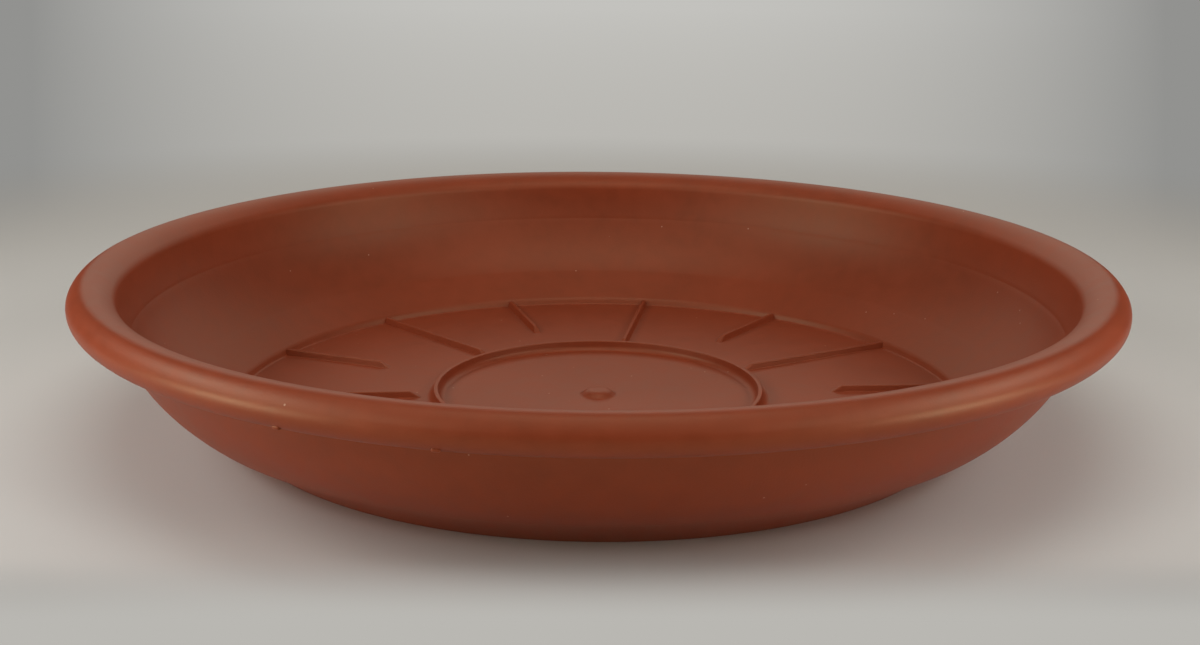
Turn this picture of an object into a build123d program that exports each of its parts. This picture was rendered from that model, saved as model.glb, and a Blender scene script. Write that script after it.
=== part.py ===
import os
from math import acos, ceil, cos, degrees, radians, sin, tan

from build123d import *

# Plant saucer: a round plastic moulding with a rolled rim, ribs and a ring on its floor.
# Millimetres, +Z up, origin on the ground under the saucer's centre.
# The features of the moulding are separate solids that meet face to face.

# Overall size and wall
saucer_radius = 150.0
wall_thickness = 2.5

# Curves are drawn in flats that stay this close to them, and less close in the hidden groove of the rim
curve_sag = 0.1
groove_sag = 0.5

# Foot: the ring that stands on the ground
foot_height = 1.3
foot_width = 3.6
foot_chamfer = 0.4

# Floor, and the step from it up to the inner face of the wall
floor_thickness = 2.2
step_height = 2.0
step_angle = 64.0

# Outer face of the wall: a flared heel, a shallow corner, then a sweep up to the rim, slopes in degrees
flare_angle = 33.2
flare_height = 10.8
sweep_radius = 46.0
wall_foot_angle = 37.0
wall_top_angle = 81.0

# Rolled rim: a wide roll over the top, and from lip_start_angle on a closer one round the lip
roll_radius = 6.7
lip_radius = 4.5
lip_start_angle = 26.0
lip_end_angle = 67.0
lip_chamfer = 0.7

# Ring round the middle of the floor, which the pot stands on, placed as a share of the floor's radius
ring_place_share = 0.453
ring_foot_width = 1.9
ring_top_width = 1.1

# Ribs: long and short ones take turns, the first long rib is at rib_turn from +X
support_height = 1.9
rib_pairs = 7
rib_turn = 81.0
rib_foot_width = 1.7
rib_top_width = 1.1
rib_end_angle = 29.0
long_rib_gap = 3.2
short_rib_share = 0.656

# Gate mark: a button on the floor over a recess
gate_button_radius = 5.4
gate_shoulder_radius = 3.6
gate_button_rise = 1.7
gate_recess_radius = 4.4
gate_recess_depth = 1.0

# Ejector pads on the lip's lower edge, at these angles from +X and pad_slope below the widest point
pad_turns = (241.9, 256.8)
pad_slope = 52.0
pad_width = 2.2
pad_thickness = 1.7
pad_height = 1.5

full_turn = 360.0
quarter_turn = 90.0


def slope(angle):
    """Direction of a face that rises outward at this angle, as (radius, height)."""
    return Vector(cos(radians(angle)), sin(radians(angle)))


def outward(angle):
    """Direction square to that face, out of and below the wall."""
    return Vector(sin(radians(angle)), -cos(radians(angle)))


def curve(centre, radius, start, end, sag):
    """Points of an arc, so many that the flats between them stay within sag of it."""
    widest_flat = 2 * degrees(acos(1 - sag / radius))
    flats = ceil(abs(end - start) / widest_flat)
    return [centre + radius * slope(start + (end - start) * i / flats) for i in range(flats + 1)]


def turned(section):
    """Solid of revolution about +Z of a face drawn as (radius, height)."""
    return revolve(Plane.XZ * section, Axis.Z)


# Heights
floor_top = foot_height + floor_thickness
step_top = floor_top + step_height
support_top = floor_top + support_height

# The foot's radius is what the rim, the sweep and the flare leave of the saucer's radius
lip_shift = (roll_radius - lip_radius) * slope(lip_start_angle)
inner_roll_radius = roll_radius - wall_thickness
inner_lip_radius = lip_radius - wall_thickness
roll_reach = lip_radius + lip_shift.X + inner_roll_radius * outward(wall_top_angle).X
sweep_reach = sweep_radius * (outward(wall_top_angle).X - outward(wall_foot_angle).X)
flare_reach = flare_height / tan(radians(flare_angle))
foot_radius = saucer_radius - roll_reach - sweep_reach - flare_reach

# Corners of the wall's section
flare_end = Vector(foot_radius + flare_reach, flare_height)
sweep_centre = flare_end - sweep_radius * outward(wall_foot_angle)
inner_sweep_radius = sweep_radius - wall_thickness
inner_flare_end = sweep_centre + inner_sweep_radius * outward(wall_foot_angle)
wall_top = sweep_centre + sweep_radius * outward(wall_top_angle)
inner_wall_top = sweep_centre + inner_sweep_radius * outward(wall_top_angle)
roll_centre = inner_wall_top + roll_radius * outward(wall_top_angle)
lip_centre = roll_centre + lip_shift

# Corners of the step and of the joint between floor and heel
step_edge = Vector(inner_flare_end.X - (inner_flare_end.Y - step_top) / tan(radians(flare_angle)), step_top)
floor_radius = step_edge.X - step_height / tan(radians(step_angle))
floor_edge = Vector(floor_radius, floor_top)
heel_depth = (Vector(foot_radius, 0) - floor_edge).dot(outward(flare_angle))
heel_foot = floor_edge + heel_depth * outward(flare_angle)
floor_under_radius = foot_radius + foot_height / tan(radians(flare_angle))

# The ring, and how far the ribs run in from the step towards it
ring_radius = ring_place_share * floor_radius
long_rib_length = step_edge.X - ring_radius - ring_foot_width / 2 - long_rib_gap
short_rib_length = short_rib_share * long_rib_length


def make_foot_ring():
    inner = foot_radius - foot_width
    section = make_face(Polyline(
        (inner, 0), (foot_radius, 0), (floor_under_radius, foot_height), (inner, foot_height), close=True))
    return turned(chamfer(section.vertices().group_by(Axis.Y)[0], foot_chamfer))


def make_floor_plate():
    recess_top = foot_height + gate_recess_depth
    return turned(make_face(Polyline(
        (0, recess_top), (gate_recess_radius, recess_top), (gate_recess_radius, foot_height),
        (floor_under_radius, foot_height), heel_foot, floor_edge, (0, floor_top), close=True)))


def make_heel_band():
    return turned(make_face(Polyline(
        heel_foot, flare_end, inner_flare_end, step_edge, floor_edge, close=True)))


def make_side_wall():
    foot = wall_foot_angle - quarter_turn
    top = wall_top_angle - quarter_turn
    return turned(make_face(Polyline(
        *curve(sweep_centre, sweep_radius, foot, top, curve_sag),
        *curve(sweep_centre, inner_sweep_radius, top, foot, curve_sag), close=True)))


def make_rolled_rim():
    """The roll and the lip outside, and back along the groove under them, one wall further in."""
    roll_start = wall_top_angle + quarter_turn
    section = make_face(Polyline(
        *curve(roll_centre, roll_radius, roll_start, lip_start_angle, curve_sag),
        *curve(lip_centre, lip_radius, lip_start_angle, -lip_end_angle, curve_sag)[1:],
        *curve(lip_centre, inner_lip_radius, -lip_end_angle, lip_start_angle, groove_sag),
        *curve(roll_centre, inner_roll_radius, lip_start_angle, roll_start, groove_sag)[1:], close=True))
    lip_corner = section.vertices().sort_by(Axis.Y)[:1]
    return turned(chamfer(lip_corner, lip_chamfer))


def make_centre_ring():
    foot = ring_foot_width / 2
    top = ring_top_width / 2
    return turned(make_face(Polyline(
        (ring_radius - foot, floor_top), (ring_radius + foot, floor_top),
        (ring_radius + top, support_top), (ring_radius - top, support_top), close=True)))


def make_gate_dome():
    crown = floor_top + gate_button_rise
    return turned(make_face(Polyline(
        (0, floor_top), (gate_button_radius, floor_top),
        (gate_shoulder_radius, crown), (0, crown), close=True)))


def make_rib(length, turn, heel_band):
    """One rib from its sloped inner end, this far in from the step's edge, to the step it runs into."""
    outer = step_edge.X
    inner = outer - length
    crest = inner + support_height / tan(radians(rib_end_angle))
    side = make_face(Polyline(
        (inner, floor_top), (outer, floor_top), (outer, support_top), (crest, support_top), close=True))
    foot = rib_foot_width / 2
    top = rib_top_width / 2
    section = make_face(Polyline(
        (-foot, floor_top), (foot, floor_top), (top, support_top), (-top, support_top), close=True))
    slab = extrude(Plane.XZ * side, foot, both=True)
    rib = slab & extrude(Plane.YZ * section, outer)
    return Rot(0, 0, turn) * rib - heel_band


def make_ejector_pads(rolled_rim):
    place = lip_centre + lip_radius * slope(-pad_slope)
    pad = Pos(place.X, 0, place.Y) * Box(pad_thickness, pad_width, pad_height)
    return [Rot(0, 0, turn) * pad - rolled_rim for turn in pad_turns]


heel_band = make_heel_band()
rolled_rim = make_rolled_rim()

nodes = {
    "foot_ring": make_foot_ring(),
    "floor_plate": make_floor_plate(),
    "heel_band": heel_band,
    "side_wall": make_side_wall(),
    "rolled_rim": rolled_rim,
    "centre_ring": make_centre_ring(),
    "gate_dome": make_gate_dome(),
    "ejector_pads": Compound(children=make_ejector_pads(rolled_rim)),
}

rib_step = full_turn / rib_pairs
long_rib = make_rib(long_rib_length, rib_turn, heel_band)
short_rib = make_rib(short_rib_length, rib_turn - rib_step / 2, heel_band)
for number in range(rib_pairs):
    nodes[f"long_rib_{number + 1}"] = Rot(0, 0, number * rib_step) * long_rib
    nodes[f"short_rib_{number + 1}"] = Rot(0, 0, number * rib_step) * short_rib

os.makedirs("parts", exist_ok=True)
for name, shape in nodes.items():
    export_step(shape, f"parts/{name}.step")
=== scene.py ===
# %% [markdown]
# A moulded plant saucer
#
# The saucer is one piece of terracotta-coloured plastic: a flared bowl with a rolled rim, and on its
# floor a ring and a set of ribs that keep the pot out of spilled water. Almost all of it is a body of
# revolution, so it is drawn as half a section and spun. The ribs and the small marks of the mould are
# modelled one by one and set on it. Blender works in metres. Sizes of the saucer are written as
# millimetres * MM, and those of the paper and the lamps in metres.

# %% Load the frame
from math import acos, asin, cos, pi, radians, sin, tan

import bmesh
import bpy
from mathutils import Matrix, Vector


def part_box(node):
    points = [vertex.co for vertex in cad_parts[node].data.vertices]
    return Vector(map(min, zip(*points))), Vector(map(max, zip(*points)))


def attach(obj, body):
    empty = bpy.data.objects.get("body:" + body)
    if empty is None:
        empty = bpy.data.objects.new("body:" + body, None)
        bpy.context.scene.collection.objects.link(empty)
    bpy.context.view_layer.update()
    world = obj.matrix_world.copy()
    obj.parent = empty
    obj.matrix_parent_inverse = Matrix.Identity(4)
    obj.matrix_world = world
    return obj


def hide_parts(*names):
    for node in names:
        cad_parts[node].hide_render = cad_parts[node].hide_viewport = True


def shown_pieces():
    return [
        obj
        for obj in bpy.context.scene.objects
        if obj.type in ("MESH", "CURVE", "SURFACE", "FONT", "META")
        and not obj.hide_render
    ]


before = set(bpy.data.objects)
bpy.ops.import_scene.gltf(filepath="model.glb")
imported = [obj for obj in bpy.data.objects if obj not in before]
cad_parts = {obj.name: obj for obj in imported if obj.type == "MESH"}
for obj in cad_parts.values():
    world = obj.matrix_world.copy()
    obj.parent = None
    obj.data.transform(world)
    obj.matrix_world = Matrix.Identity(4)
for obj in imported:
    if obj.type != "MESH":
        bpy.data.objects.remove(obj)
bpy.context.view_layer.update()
scene = bpy.context.scene
MM = 0.001

# %% [markdown]
# The camera
#
# A camera matches a photograph when its height, distance, tilt and focal length do. These were worked
# out from the ellipses that the rim, the floor's edge and the ring make in the picture: a near ellipse
# looks rounder than a far one, and how much rounder gives the distance. The photograph was taken close
# up with a normal lens, looking down by fifteen degrees, with the camera turned by half a degree.

# %% Camera
camera_distance = 464.4 * MM
camera_height = 151.9 * MM
camera_tilt = radians(15.18)
camera_roll = radians(0.47)
picture_width = 1200
focal_length = 1618.2
picture_centre = 598.6

camera_data = bpy.data.cameras.new("photo_camera")
camera_data.sensor_width = 36.0
camera_data.lens = camera_data.sensor_width * focal_length / picture_width
camera_data.shift_x = (picture_width / 2 - picture_centre) / picture_width
camera = bpy.data.objects.new("photo_camera", camera_data)
look_down = Matrix.Rotation(pi / 2 - camera_tilt, 4, "X")
stand = Matrix.Translation((0, -camera_distance, camera_height))
camera.matrix_world = stand @ look_down @ Matrix.Rotation(camera_roll, 4, "Z")
scene.collection.objects.link(camera)
scene.camera = camera
print("camera: lens", round(camera_data.lens, 2), "mm")

# %% [markdown]
# Drawing a section
#
# A lathe shape starts as a line of points in the plane of X and Z: X is the radius, Z the height. Three
# pen strokes are enough. The first sets a point, the second pulls a straight line out of it with
# extrude, and the third turns the point about a centre with spin, which leaves an arc behind it.
# Corners are drawn sharp and rounded with bevel afterwards, as a toolmaker would break an edge.


# %% Pen strokes
def start_at(bm, place):
    return bmesh.ops.create_vert(bm, co=(place[0], 0, place[1]))["vert"][0]


def line_to(bm, start, place):
    end = bmesh.ops.extrude_vert_indiv(bm, verts=[start])["verts"][0]
    end.co = (place[0], 0, place[1])
    return end


def arc_about(bm, start, centre, turn, steps):
    """A turn above zero goes from the radius axis towards the height axis."""
    made = bmesh.ops.spin(
        bm, geom=[start], cent=(centre[0], 0, centre[1]), axis=(0, -1, 0), angle=turn, steps=steps,
        use_merge=False, use_duplicate=False)
    return [v for v in made["geom_last"] if isinstance(v, bmesh.types.BMVert)][0]


def round_corners(bm, corners, setback, segments=4):
    """Rounds corners of the line. The rounding starts this far before and after each corner."""
    bmesh.ops.bevel(
        bm, geom=corners, offset=setback, offset_type="OFFSET", segments=segments, profile=0.5,
        affect="VERTICES", clamp_overlap=True, material=-1)


# %% [markdown]
# From section to piece
#
# A full spin merges its last copy into its first, so that no seam is left. Points on the axis come out
# as many copies in one place and are merged too, and only then are the normals worked out. The
# Weighted Normal modifier lets large flat faces keep their own direction next to small roundings.

# %% Spin and finish
same_place = 0.001 * MM


def spin_section(bm, steps):
    bmesh.ops.spin(
        bm, geom=bm.verts[:] + bm.edges[:], cent=(0, 0, 0), axis=(0, 0, 1), angle=2 * pi, steps=steps,
        use_merge=True, use_duplicate=False)
    bmesh.ops.remove_doubles(bm, verts=bm.verts[:], dist=same_place)
    bmesh.ops.recalc_face_normals(bm, faces=bm.faces[:])


def finish_piece(bm, name, *nodes):
    """Makes the bmesh an object that stands for these solids and moves with the saucer."""
    mesh = bpy.data.meshes.new(name)
    bm.to_mesh(mesh)
    bm.free()
    mesh.shade_smooth()
    piece = bpy.data.objects.new(name, mesh)
    scene.collection.objects.link(piece)
    piece.modifiers.new("flat_faces_stay_flat", "WEIGHTED_NORMAL")
    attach(piece, "root")
    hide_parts(*nodes)
    print(name, "stands for", ", ".join(nodes), "with", len(mesh.polygons), "faces")


# %% [markdown]
# Sizes of the shell
#
# Floor, step, flared heel, wall and rolled rim are one skin of about two and a half millimetres. The
# outer face of the wall is a cone, then after a shallow corner an arc. The rim is made of two much
# tighter arcs that turn the other way: a wide one over the top and a closer one round the lip. Inner
# and outer faces share the arcs' centres, so the wall stays even.

# %% Shell sizes
wall = 2.5 * MM
flare = radians(33.2)
flare_height = 10.8 * MM
sweep_radius = 46.0 * MM
wall_foot = radians(37.0)
wall_top = radians(81.0)
roll_radius = 6.7 * MM
lip_radius = 4.5 * MM
lip_start = radians(26.0)
lip_end = radians(67.0)
step_height = 2.0 * MM
step_slope = radians(64.0)
foot_width = 3.6 * MM
rim_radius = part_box("rolled_rim")[1].x
foot_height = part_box("floor_plate")[0].z
floor_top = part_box("floor_plate")[1].z


def outward(slope):
    """Square to a face that rises outward at this slope, out of and below the wall."""
    return Vector((sin(slope), -cos(slope)))


def toward(angle):
    """Direction at this angle from the radius axis, up where the angle is above zero."""
    return Vector((cos(angle), sin(angle)))


lip_shift = (roll_radius - lip_radius) * toward(lip_start)
roll_reach = lip_radius + lip_shift.x + (roll_radius - wall) * sin(wall_top)
sweep_reach = sweep_radius * (sin(wall_top) - sin(wall_foot))
flare_reach = flare_height / tan(flare)
foot_radius = rim_radius - roll_reach - sweep_reach - flare_reach
flare_end = Vector((foot_radius + flare_reach, flare_height))
sweep_centre = flare_end - sweep_radius * outward(wall_foot)
inner_flare_end = flare_end - wall * outward(wall_foot)
roll_centre = sweep_centre + (sweep_radius - wall + roll_radius) * outward(wall_top)
lip_centre = roll_centre + lip_shift
step_top = floor_top + step_height
step_edge = Vector((inner_flare_end.x - (inner_flare_end.y - step_top) / tan(flare), step_top))
floor_radius = step_edge.x - step_height / tan(step_slope)
print("shell: foot", round(foot_radius / MM, 2), "and floor", round(floor_radius / MM, 2), "mm in radius")

# %% [markdown]
# The shell's inside
#
# The section starts in the middle of the floor and climbs the inside. Where the floor ends, a low step
# leads up to the wall. Higher up, two parts of the mould met and left a witness line: a groove much
# finer than a millimetre, drawn as two short strokes that dip into the wall and come back to the arc.

# %% Floor, step and inner wall
witness_height = 30.3 * MM
witness_width = 0.5 * MM
witness_depth = 0.12 * MM
inner_sweep = sweep_radius - wall
witness_slope = acos((sweep_centre.y - witness_height) / inner_sweep)
half_witness = witness_width / 2 / inner_sweep

shell = bmesh.new()
pen = start_at(shell, (0, floor_top))
floor_corner = pen = line_to(shell, pen, (floor_radius, floor_top))
step_corner = pen = line_to(shell, pen, step_edge)
pen = line_to(shell, pen, inner_flare_end)
pen = arc_about(shell, pen, sweep_centre, witness_slope - half_witness - wall_foot, steps=16)
pen = line_to(shell, pen, sweep_centre + (inner_sweep + witness_depth) * outward(witness_slope))
pen = line_to(shell, pen, sweep_centre + inner_sweep * outward(witness_slope + half_witness))
pen = arc_about(shell, pen, sweep_centre, wall_top - witness_slope - half_witness, steps=8)
print("inner wall ends at radius", round(pen.co.x / MM, 2), "mm")

# %% [markdown]
# The rolled rim
#
# The rim rolls over by more than half a turn and ends in a lip, which hides a groove. Towards the bowl
# its top is a little flattened, as measured in the photograph: a wide arc between two closer ones takes
# the place of that part of the roll. The groove below keeps its round form, so the skin is up to 0.85 mm
# thinner there. The pen follows the rim out, and then back in along the groove.

# %% Rolled rim
roll_turn = pi / 2 + wall_top - lip_start
lip_turn = lip_start + lip_end
shoulder_slope = radians(114.0)
shoulder_reach = pi / 2 + wall_top - shoulder_slope
shoulder_radius = 4.0 * MM
flat_radius = 11.0 * MM

shoulder_shift = roll_radius - shoulder_radius
flat_shift = flat_radius - shoulder_radius
flat_half = asin(shoulder_shift * sin(shoulder_reach) / flat_shift)
low_centre = roll_centre + shoulder_shift * toward(shoulder_slope + shoulder_reach)
flat_centre = low_centre - flat_shift * toward(shoulder_slope + flat_half)
high_centre = roll_centre + shoulder_shift * toward(shoulder_slope - shoulder_reach)
pen = arc_about(shell, pen, low_centre, flat_half - shoulder_reach, steps=7)
pen = arc_about(shell, pen, flat_centre, -2 * flat_half, steps=8)
pen = arc_about(shell, pen, high_centre, flat_half - shoulder_reach, steps=7)
pen = arc_about(shell, pen, roll_centre, lip_start + shoulder_reach - shoulder_slope, steps=8)
lip_outside = pen = arc_about(shell, pen, lip_centre, -lip_turn, steps=20)
lip_inside = pen = line_to(shell, pen, lip_centre + (lip_radius - wall) * toward(-lip_end))
pen = arc_about(shell, pen, lip_centre, lip_turn, steps=10)
pen = arc_about(shell, pen, roll_centre, roll_turn, steps=16)
print("rim:", round(max(v.co.z for v in shell.verts) / MM, 2), "mm high")

# %% [markdown]
# The outside and the underside
#
# The pen comes down the outside of the wall. The heel below is set back by a small ledge. That is a
# guess from the dark band with a crisp upper edge in the photograph. The underside isn't shown there, so
# it follows other mouldings: under the middle of the floor is the gate, where the plastic came in, a
# small round recess with the stub of the sprue in it.

# %% Outer wall and underside
heel_ledge = 1.8 * MM
recess_radius = 4.4 * MM
recess_depth = 1.0 * MM
sprue_radius = 1.2 * MM
sprue_length = 0.6 * MM
recess_top = foot_height + recess_depth
sprue_end = recess_top - sprue_length
foot_inner_radius = foot_radius - foot_width

heel_corner = pen = arc_about(shell, pen, sweep_centre, wall_foot - wall_top, steps=20)
heel_root = pen = line_to(shell, pen, flare_end - Vector((heel_ledge, 0)))
foot_outside = pen = line_to(shell, pen, (foot_radius, 0))
foot_inside = pen = line_to(shell, pen, (foot_inner_radius, 0))
foot_root = pen = line_to(shell, pen, (foot_inner_radius, foot_height))
recess_mouth = pen = line_to(shell, pen, (recess_radius, foot_height))
pen = line_to(shell, pen, (recess_radius, recess_top))
pen = line_to(shell, pen, (sprue_radius, recess_top))
sprue_edge = pen = line_to(shell, pen, (sprue_radius, sprue_end))
pen = line_to(shell, pen, (0, sprue_end))
print("section:", len(shell.verts), "points before rounding")

# %% [markdown]
# Rounding and spinning
#
# A mould has no knife edges. The step's upper edge is the softest, the lip and the foot are rounded, and
# the rest is just broken. Rounding the line before it is spun costs a few points instead of a bevel
# round the whole saucer. The spin has enough steps for the rim to look round close up.

# %% Round and spin the shell
spin_steps = 256
step_rounding = 0.8 * MM
floor_rounding = 0.45 * MM
lip_rounding = 0.6 * MM
heel_rounding = 0.4 * MM
foot_rounding = 0.5 * MM
gate_rounding = 0.25 * MM

round_corners(shell, [step_corner], step_rounding, segments=6)
round_corners(shell, [floor_corner], floor_rounding)
round_corners(shell, [lip_outside, lip_inside], lip_rounding, segments=5)
round_corners(shell, [heel_corner], heel_rounding, segments=5)
round_corners(shell, [heel_root], heel_rounding)
round_corners(shell, [foot_outside, foot_inside, foot_root], foot_rounding)
round_corners(shell, [recess_mouth, sprue_edge], gate_rounding, segments=3)
spin_section(shell, spin_steps)
finish_piece(shell, "saucer_shell", "foot_ring", "floor_plate", "heel_band", "side_wall", "rolled_rim")

# %% [markdown]
# The pot ring
#
# The pot stands on a low ring. Its section is a small tapered wall with a rounded top, and at its foot
# it flows into the floor. The line therefore starts out on the floor and turns up through a hollow
# corner. The ends go down a little way into the floor and are joined there, so the piece is closed. The
# ring has the height measured in the photograph, which is 1.2 mm more than the solid's.

# %% Pot ring
sink = 0.02 * MM
root_depth = 0.2 * MM
skin_level = floor_top - sink
root_level = floor_top - root_depth
ring_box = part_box("centre_ring")
ring_fillet = 2.0 * MM
ring_foot_width = 2.6 * MM
ring_top_width = 1.3 * MM
ring_height = 3.1 * MM
ring_top_rounding = 0.3 * MM
ring_foot_rounding = 1.6 * MM
half_foot = ring_foot_width / 2
half_top = ring_top_width / 2
ring_radius = ring_box[1].x - half_foot
ring_top = floor_top + ring_height
inner_edge = ring_radius - half_foot - ring_fillet
outer_edge = ring_radius + half_foot + ring_fillet

ring = bmesh.new()
first = pen = start_at(ring, (inner_edge, root_level))
pen = line_to(ring, pen, (inner_edge, skin_level))
inner_foot = pen = line_to(ring, pen, (ring_radius - half_foot, skin_level))
inner_top = pen = line_to(ring, pen, (ring_radius - half_top, ring_top))
outer_top = pen = line_to(ring, pen, (ring_radius + half_top, ring_top))
outer_foot = pen = line_to(ring, pen, (ring_radius + half_foot, skin_level))
pen = line_to(ring, pen, (outer_edge, skin_level))
pen = line_to(ring, pen, (outer_edge, root_level))
ring.edges.new((pen, first))
round_corners(ring, [inner_top, outer_top], ring_top_rounding)
round_corners(ring, [inner_foot, outer_foot], ring_foot_rounding, segments=6)
spin_section(ring, spin_steps)
finish_piece(ring, "pot_ring", "centre_ring")

# %% [markdown]
# The gate mark
#
# Above the gate the floor is thickened into a low round button, so that the plastic could spread. It
# is drawn like the ring: a line from the floor up over a soft shoulder to the slightly crowned middle.

# %% Gate mark
fillet_reach = 0.7 * MM
button_radius = 5.4 * MM
button_shoulder_radius = 3.4 * MM
button_shoulder_height = 1.6 * MM
crown_height = 1.8 * MM
button_foot_rounding = 0.5 * MM
button_shoulder_rounding = 0.9 * MM
button_steps = 64

button = bmesh.new()
pen = start_at(button, (0, root_level))
pen = line_to(button, pen, (button_radius + fillet_reach, root_level))
pen = line_to(button, pen, (button_radius + fillet_reach, skin_level))
button_foot = pen = line_to(button, pen, (button_radius, skin_level))
shoulder = pen = line_to(button, pen, (button_shoulder_radius, floor_top + button_shoulder_height))
pen = line_to(button, pen, (0, floor_top + crown_height))
round_corners(button, [button_foot], button_foot_rounding)
round_corners(button, [shoulder], button_shoulder_rounding, segments=6)
spin_section(button, button_steps)
finish_piece(button, "gate_button", "gate_dome")

# %% [markdown]
# The ribs
#
# Fourteen ribs run from the step towards the ring, long and short by turns. A rib could be a stretched
# cube, but the moulded one has draft, a sloped inner end and a soft foot. So a flat strip on the floor
# is inset, and the inner face is pulled up and narrowed. That leaves a loop of hollow edges at the foot
# and a loop of sharp ones at the top. The outer end runs on into the step, and stops a little short of
# its upper edge, so that the strip's border doesn't come out through the heel.

# %% One rib
rib_foot_width = 2.3 * MM
rib_top_width = 1.2 * MM
rib_end_slope = radians(29.0)
rib_setback = 0.25 * MM
rib_reach = step_edge.x - rib_setback
support_top = ring_box[1].z


def raise_rib(tip):
    """A rib along X from its tip to the step, rising from a strip of the floor."""
    bm = bmesh.new()
    bmesh.ops.create_grid(bm, x_segments=1, y_segments=1, size=0.5)
    strip_size = (rib_reach - tip + 2 * fillet_reach, rib_foot_width + 2 * fillet_reach, 1)
    bmesh.ops.scale(bm, vec=strip_size, verts=bm.verts[:])
    middle = (rib_reach + tip) / 2
    bmesh.ops.translate(bm, vec=(middle, 0, skin_level), verts=bm.verts[:])
    strip = bm.faces[:][0]
    bmesh.ops.inset_region(
        bm, faces=[strip], thickness=fillet_reach, use_boundary=True, use_even_offset=True)
    raised = bmesh.ops.extrude_face_region(bm, geom=[strip])["geom"]
    bmesh.ops.delete(bm, geom=[strip], context="FACES_ONLY")
    crest = [v for v in raised if isinstance(v, bmesh.types.BMVert)]
    rise = support_top - floor_top + sink
    bmesh.ops.translate(bm, vec=(0, 0, rise), verts=crest)
    bmesh.ops.scale(bm, vec=(1, rib_top_width / rib_foot_width, 1), verts=crest)
    tip_crest = [v for v in crest if v.co.x < middle]
    bmesh.ops.translate(bm, vec=(rise / tan(rib_end_slope), 0, 0), verts=tip_crest)
    return bm


# %% [markdown]
# Bevel is to round the folds alone. An edge is a fold where its two faces turn by more than twenty
# degrees. Folds that touch the crest come first, and those left low on the floor are the hollow foot.
# The strip's border is then folded down into the floor and closed.

# %% Soft edges and a closed underside
least_fold = radians(20)
rib_crest_rounding = 0.3 * MM
rib_foot_rounding = 0.35 * MM
rib_segments = 3


def folded_edges(bm):
    bm.normal_update()
    return [e for e in bm.edges if not e.is_boundary and e.calc_face_angle() > least_fold]


def round_edges(bm, edges, setback, segments):
    bmesh.ops.bevel(
        bm, geom=edges, offset=setback, offset_type="OFFSET", segments=segments, profile=0.5,
        affect="EDGES", clamp_overlap=True, material=-1)


def soften_rib(bm):
    crest_edges = [e for e in folded_edges(bm) if any(v.co.z > floor_top for v in e.verts)]
    round_edges(bm, crest_edges, rib_crest_rounding, rib_segments)
    foot_edges = [e for e in folded_edges(bm) if all(v.co.z < floor_top for v in e.verts)]
    round_edges(bm, foot_edges, rib_foot_rounding, rib_segments)


def close_under_floor(bm):
    border = [e for e in bm.edges if e.is_boundary]
    folded = bmesh.ops.extrude_edge_only(bm, edges=border)["geom"]
    low = [v for v in folded if isinstance(v, bmesh.types.BMVert)]
    bmesh.ops.translate(bm, vec=(0, 0, sink - root_depth), verts=low)
    border = [e for e in bm.edges if e.is_boundary]
    bmesh.ops.holes_fill(bm, edges=border, sides=len(border))
    bmesh.ops.recalc_face_normals(bm, faces=bm.faces[:])


# %% [markdown]
# The first long rib is a little to the right of the far end, as the camera sees it. The others follow at
# even turns, with a short rib halfway between each two long ones. The ribs that the near rim hides in the
# photograph are taken to follow the same pattern.

# %% All ribs
rib_pairs = 7
rib_turn = radians(81.3)
rib_step = 2 * pi / rib_pairs
rib_gap = 3.0 * MM
short_share = 0.68
long_tip = ring_radius + half_foot + rib_gap
short_tip = step_edge.x - short_share * (step_edge.x - long_tip)
first_ribs = {"long_rib": (long_tip, rib_turn), "short_rib": (short_tip, rib_turn - rib_step / 2)}
for kind, (tip, first_turn) in first_ribs.items():
    for number in range(rib_pairs):
        rib = raise_rib(tip)
        soften_rib(rib)
        close_under_floor(rib)
        rib_place = Matrix.Rotation(first_turn + number * rib_step, 3, "Z")
        bmesh.ops.rotate(rib, cent=(0, 0, 0), matrix=rib_place, verts=rib.verts[:])
        finish_piece(rib, f"saucer_{kind}_{number + 1}", f"{kind}_{number + 1}")

# %% [markdown]
# The nubs under the lip
#
# Two small nubs on the lip's lower edge are left from the pins that pushed the saucer out of the mould.
# Each is a block with its corners well rounded, a little more than half of it buried in the lip.

# %% Lip nubs
nub_turns = (radians(241.9), radians(256.8))
nub_size = Vector((1.5, 2.2, 1.3)) * MM
nub_slope = radians(52.0)
nub_sink = 0.2 * MM
nub_rounding = 0.55 * MM
nub_place = lip_centre + (lip_radius - nub_sink) * toward(-nub_slope)

nubs = bmesh.new()
for turn in nub_turns:
    block = bmesh.ops.create_cube(nubs, size=1.0)["verts"]
    bmesh.ops.scale(nubs, vec=nub_size, verts=block)
    bmesh.ops.translate(nubs, vec=(nub_place.x, 0, nub_place.y), verts=block)
    bmesh.ops.rotate(nubs, cent=(0, 0, 0), matrix=Matrix.Rotation(turn, 3, "Z"), verts=block)
round_edges(nubs, nubs.edges[:], nub_rounding, segments=4)
finish_piece(nubs, "lip_nubs", "ejector_pads")

# %% [markdown]
# Colours
#
# Colours are written as they look on screen, as sRGB hex values. Shaders work with linear light, so one
# function converts them. Another adds a node, sets it and links it, and two more use that for sums and
# for mixing colours. A Mix node has sockets of the same name for each type of data, so those for colours
# are taken by number.


# %% Colour and nodes
def linear(hex_code):
    channels = [int(hex_code[i:i + 2], 16) / 255 for i in (1, 3, 5)]
    return [c / 12.92 if c <= 0.04045 else ((c + 0.055) / 1.055) ** 2.4 for c in channels] + [1.0]


def add_node(material, kind, inputs, **settings):
    tree = material.node_tree
    node = tree.nodes.new("ShaderNode" + kind)
    for name, value in settings.items():
        setattr(node, name, value)
    for socket, value in inputs.items():
        if isinstance(value, bpy.types.NodeSocket):
            tree.links.new(value, node.inputs[socket])
        else:
            node.inputs[socket].default_value = value
    return node


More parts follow.
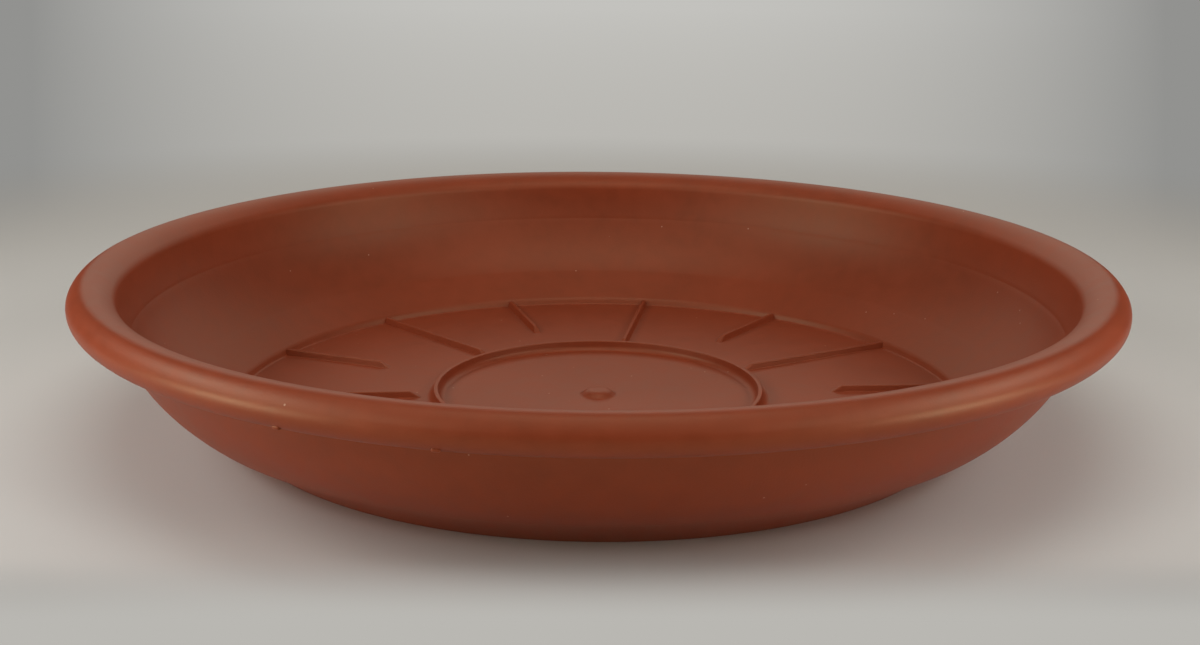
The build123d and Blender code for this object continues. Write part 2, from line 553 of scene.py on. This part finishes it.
def calculate(material, operation, *values):
    return add_node(material, "Math", dict(enumerate(values)), operation=operation).outputs[0]


def mix_colours(material, share, first_colour, second_colour):
    inputs = {0: share, 6: first_colour, 7: second_colour}
    return add_node(material, "Mix", inputs, data_type="RGBA").outputs[2]


print("middle grey on screen is", round(linear("#808080")[0], 3), "in linear light")

# %% [markdown]
# Terracotta polypropylene
#
# The saucer is polypropylene with an earth-red pigment, moulded against a lightly eroded steel surface.
# That gives the eye a dull, slightly waxy skin: broad soft highlights, a fine even grain, and a colour
# that drifts a little in cloudy patches where the melt flowed. A few pale dust specks sit on it. The real
# grain is near a tenth of a millimetre, finer than a pixel, so it is drawn coarser.

# %% Terracotta polypropylene
cloud_size = 45.0 * MM
mottle_size = 5.0 * MM
grain_size = 0.55 * MM
speck_spacing = 9.0 * MM

plastic = bpy.data.materials.new("terracotta_polypropylene_moulded")
plastic.use_nodes = True
plastic.node_tree.nodes.clear()
place = add_node(plastic, "TexCoord", {}).outputs["Object"]
clouds = add_node(plastic, "TexNoise", {"Vector": place, "Scale": 1 / cloud_size, "Detail": 2.0})
mottle = add_node(plastic, "TexNoise", {"Vector": place, "Scale": 1 / mottle_size, "Detail": 3.0})
grain = add_node(plastic, "TexNoise", {"Vector": place, "Scale": 1 / grain_size, "Detail": 1.0})
cells = add_node(plastic, "TexVoronoi", {"Vector": place, "Scale": 1 / speck_spacing})
print("plastic: grain", round(grain_size / MM, 2), "mm")

# %% [markdown]
# The mean of clouds and mottle drives a ramp between a deeper and a paler earth red. Voronoi cells give
# each speck a place: only near a cell's centre is the distance small enough to count.

# %% Plastic colour
plastic_colour = "#88361B"
plastic_pale = "#8E391E"
plastic_deep = "#813319"
speck_colour = "#B98A74"
deep_end = 0.32
pale_end = 0.68
speck_core = 0.02
speck_edge = 0.035

drift = calculate(plastic, "ADD", clouds.outputs["Fac"], mottle.outputs["Fac"])
mean_drift = calculate(plastic, "MULTIPLY", drift, 0.5)
tone = add_node(plastic, "ValToRGB", {"Fac": mean_drift})
ramp = tone.color_ramp.elements
ramp[0].position = deep_end
ramp[0].color = linear(plastic_deep)
ramp[1].position = pale_end
ramp[1].color = linear(plastic_pale)
ramp.new((deep_end + pale_end) / 2).color = linear(plastic_colour)
speck = add_node(plastic, "MapRange", {
    "Value": cells.outputs["Distance"], "From Min": speck_core, "From Max": speck_edge,
    "To Min": 1.0, "To Max": 0.0})
skin = mix_colours(plastic, speck.outputs[0], tone.outputs["Color"], linear(speck_colour))
print("plastic:", len(ramp), "tones")

# %% [markdown]
# The mottle makes the gloss vary too, and the grain stands up a little from the surface.

# %% Plastic gloss
gloss_colour = "#FFF3C4"
gloss_level = 0.45
refraction = 1.49
least_roughness = 0.42
most_roughness = 0.52
grain_strength = 0.3
grain_height = 0.1 * MM

roughness = add_node(plastic, "MapRange", {
    "Value": mottle.outputs["Fac"], "To Min": least_roughness, "To Max": most_roughness})
bump = add_node(plastic, "Bump", {
    "Height": grain.outputs["Fac"], "Strength": grain_strength, "Distance": grain_height})
shader = add_node(plastic, "BsdfPrincipled", {
    "Base Color": skin, "Roughness": roughness.outputs[0], "IOR": refraction,
    "Specular IOR Level": gloss_level, "Specular Tint": linear(gloss_colour), "Normal": bump.outputs[0]})
add_node(plastic, "OutputMaterial", {"Surface": shader.outputs[0]})
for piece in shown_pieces():
    piece.data.materials.clear()
    piece.data.materials.append(plastic)

# %% [markdown]
# The paper
#
# The saucer stands on a large sheet of pale paper that fills the whole picture. The lamps stand close to
# the saucer, so the far paper would turn dark, where the photograph has it evenly pale. The far paper
# therefore shows the camera painted light, a glowing tone of its own, with painted shade a little darker
# to the sides. It is mixed in by distance and, as a painted pool of light, at the foot of the picture,
# and only for rays that come straight from the camera, so it puts no light on the saucer.

# %% Paper floor
floor_half = 4.0

floor_mesh = bmesh.new()
bmesh.ops.create_grid(floor_mesh, x_segments=1, y_segments=1, size=floor_half)
floor_data = bpy.data.meshes.new("paper_floor")
floor_mesh.to_mesh(floor_data)
floor_mesh.free()
floor = bpy.data.objects.new("paper_floor", floor_data)
scene.collection.objects.link(floor)
print("floor:", 2 * floor_half, "m wide")

# %% [markdown]
# By distance from the saucer's centre, the lit paper near it gives way to painted light of a middle tone,
# and that one to a paler painted tone far away.

# %% Painted paper light by distance
painted_far_colour = "#C3C2BE"
painted_middle_colour = "#B9B7B2"
near_reach = 0.30
middle_reach = 0.55
far_reach = 1.6

paper = bpy.data.materials.new("pale_paper")
paper.use_nodes = True
paper.node_tree.nodes.clear()
coordinates = add_node(paper, "TexCoord", {}).outputs
distance = add_node(paper, "VectorMath", {0: coordinates["Object"]}, operation="LENGTH")
reach = distance.outputs["Value"]
# Beyond the near reach the paper shows painted light in place of lamplight.
leave = add_node(paper, "MapRange", {"Value": reach, "From Min": near_reach, "From Max": middle_reach},
                 interpolation_type="SMOOTHSTEP")
along = add_node(paper, "MapRange", {"Value": reach, "From Min": middle_reach, "From Max": far_reach})
painted_distance_tone = mix_colours(paper, along.outputs[0], linear(painted_middle_colour), linear(painted_far_colour))
print("paper: own tone from", near_reach, "m on")

# %% [markdown]
# The painted light at the picture's foot and the painted shade at its sides are found in the camera's own
# coordinates: how far a spot is below or beside the line of sight, for its depth. So the paper looks the
# same from all round.

# %% Painted light at the foot, painted shade at the sides
painted_side_shade_colour = "#929290"
side_ratio = 0.35
side_power = 2.6
foot_start = -0.142
foot_end = -0.185

sight = add_node(paper, "SeparateXYZ", {0: coordinates["Camera"]}).outputs
below = calculate(paper, "DIVIDE", sight["Y"], sight["Z"])
# The foot share paints a pool of light on the paper at the foot of the picture.
foot = add_node(paper, "MapRange", {"Value": below, "From Min": foot_start, "From Max": foot_end},
                interpolation_type="SMOOTHSTEP").outputs[0]
painted_light_share = calculate(paper, "MAXIMUM", leave.outputs[0], foot)
direct = add_node(paper, "LightPath", {}).outputs["Is Camera Ray"]
seen = calculate(paper, "MULTIPLY", painted_light_share, direct)
# Towards the sides of the picture the painted tone turns darker: painted shade.
beside = calculate(paper, "DIVIDE", sight["X"], sight["Z"])
ratio = calculate(paper, "ABSOLUTE", beside)
share = add_node(paper, "MapRange", {"Value": ratio, "From Max": side_ratio})
falloff = calculate(paper, "POWER", share.outputs[0], side_power)
above_foot = calculate(paper, "SUBTRACT", 1.0, foot)
darker = calculate(paper, "MULTIPLY", falloff, above_foot)
painted_paper_light = mix_colours(paper, darker, painted_distance_tone, linear(painted_side_shade_colour))
print("paper:", len(paper.node_tree.nodes), "nodes for its own tone")

# %% [markdown]
# The lit paper is a dull white. Its painted light is an emission, a glow that stands in for lamplight,
# mixed in where the camera is to see it.

# %% Paper shader
paper_colour = "#D7D4CE"
paper_roughness = 0.9

lit = add_node(paper, "BsdfPrincipled", {"Base Color": linear(paper_colour), "Roughness": paper_roughness})
painted_glow = add_node(paper, "Emission", {"Color": painted_paper_light})
mixed = add_node(paper, "MixShader", {0: seen, 1: lit.outputs[0], 2: painted_glow.outputs[0]})
add_node(paper, "OutputMaterial", {"Surface": mixed.outputs[0]})
floor_data.materials.append(paper)
print("paper:", len(paper.node_tree.nodes), "nodes")

# %% [markdown]
# The lamps
#
# Two soft boxes at the sides and two beside the camera, stronger on the left, light the rim at left and
# right and leave its camera side darker. Low strips further out reach under the rim, a sheet behind gives
# the floor its dull shine, and sheets above and in front fill the bowl. The strips and the sheet behind
# are a little warm, as the shine in the photograph is. Each lamp has a place, a direction that it faces,
# a width and height, a power in watts and a colour.

# %% Lamps
lamp_white = "#FFFFFF"
lamp_warm = "#FFF5E4"
lamps = {
    "left_box": ((-0.42, -0.10, 0.29), (1, 0, 0), (0.25, 0.16), 0.95, lamp_white),
    "right_box": ((0.42, -0.10, 0.29), (-1, 0, 0), (0.25, 0.16), 0.76, lamp_white),
    "left_corner": ((-0.50, -0.55, 0.45), (0.5, 0.5, -0.4), (0.2, 0.2), 0.62, lamp_white),
    "right_corner": ((0.50, -0.55, 0.45), (-0.5, 0.5, -0.4), (0.2, 0.2), 0.55, lamp_white),
    "left_strip": ((-0.70, -0.30, 0.06), (1, 0, 0), (0.2, 0.06), 2.10, lamp_warm),
    "right_strip": ((0.70, -0.30, 0.06), (-1, 0, 0), (0.2, 0.06), 1.85, lamp_warm),
    "back_sheet": ((0.0, 0.55, 0.38), (0, -1, 0), (0.8, 0.5), 1.2, lamp_warm),
    "front_sheet": ((0.0, -0.55, 0.75), (0, 0.5, -0.75), (0.6, 0.25), 0.50, lamp_white),
    "top_sheet": ((0.0, -0.10, 0.90), (0, 0, -1), (0.8, 0.4), 2.0, lamp_white),
}
for name, (spot, facing, size, power, tint) in lamps.items():
    lamp = bpy.data.lights.new(name, "AREA")
    lamp.shape = "RECTANGLE"
    lamp.size, lamp.size_y = size
    lamp.energy = power
    lamp.color = linear(tint)[:3]
    holder = bpy.data.objects.new(name, lamp)
    holder.visible_camera = False
    aim = Vector(facing).to_track_quat("-Z", "Y")
    holder.matrix_world = Matrix.Translation(spot) @ aim.to_matrix().to_4x4()
    scene.collection.objects.link(holder)
print("studio:", len(lamps), "lamps")

# %% [markdown]
# A trace of light from all round keeps the deepest shadows open.

# %% World and view
world_strength = 0.02

world = bpy.data.worlds.new("studio_grey")
world.use_nodes = True
background = world.node_tree.nodes["Background"].inputs
background["Color"].default_value = linear(lamp_white)
background["Strength"].default_value = world_strength
scene.world = world
scene.view_settings.view_transform = "Standard"
print("world: strength", world_strength)
